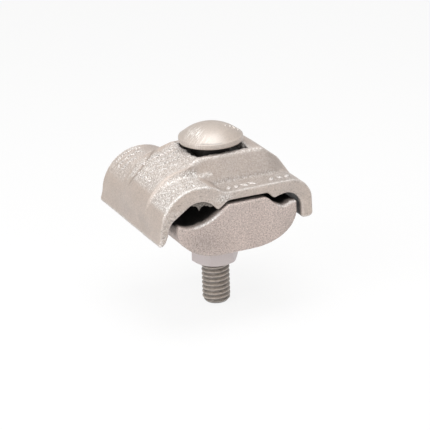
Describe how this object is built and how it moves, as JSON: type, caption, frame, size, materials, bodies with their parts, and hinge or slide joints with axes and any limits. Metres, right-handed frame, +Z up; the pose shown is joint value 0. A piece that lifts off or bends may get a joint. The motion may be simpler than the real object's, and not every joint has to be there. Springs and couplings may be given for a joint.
{
  "type": "parallel groove clamp",
  "caption": "Galvanised parallel groove clamp: two cast jaws with a large and a small conductor groove, drawn together by a round-head square-neck bolt, lock washer and hex nut.",
  "frame": {"origin": "on the axis of the main conductor in the big groove, halfway along the clamp", "axes": "+Z up along the bolt towards its head, Y along both conductor grooves, +X towards the small groove"},
  "size_m": [0.0555, 0.0498, 0.0631],
  "materials": {
    "upper_casting": "hot-dip galvanised casting, fine grained, satin",
    "lower_casting": "hot-dip galvanised casting, rough and matte",
    "bolt_steel": "galvanised steel, satin, scratched on the head",
    "washer_steel": "galvanised spring steel, satin",
    "nut_steel": "galvanised steel, smooth satin"
  },
  "bodies": {
    "upper": {"upper_jaw": "upper_casting"},
    "bolt": {"carriage_bolt": "bolt_steel"},
    "lower": {"lower_jaw": "lower_casting", "lock_washer": "washer_steel"},
    "nut": {"hex_nut": "nut_steel"}
  },
  "joints": [
    {"name": "bolt_slide", "type": "slide", "parent": "upper", "child": "bolt", "axis": [0, 0, 1], "range_m": [-0.0016, 0]},
    {"name": "jaw_slide", "type": "slide", "parent": "bolt", "child": "lower", "axis": [0, 0, 1], "range_m": [-0.0127, 0.0007]},
    {"name": "nut_turn", "type": "hinge", "parent": "lower", "child": "nut", "pos_m": [0.01715, 0, -0.0232], "axis": [0, 0, 1], "range_deg": [-2890, 190]}
  ],
  "couplings": [
    {"joint": "nut_turn", "follows": "jaw_slide", "rad_per_m": 3957.9}
  ]
}
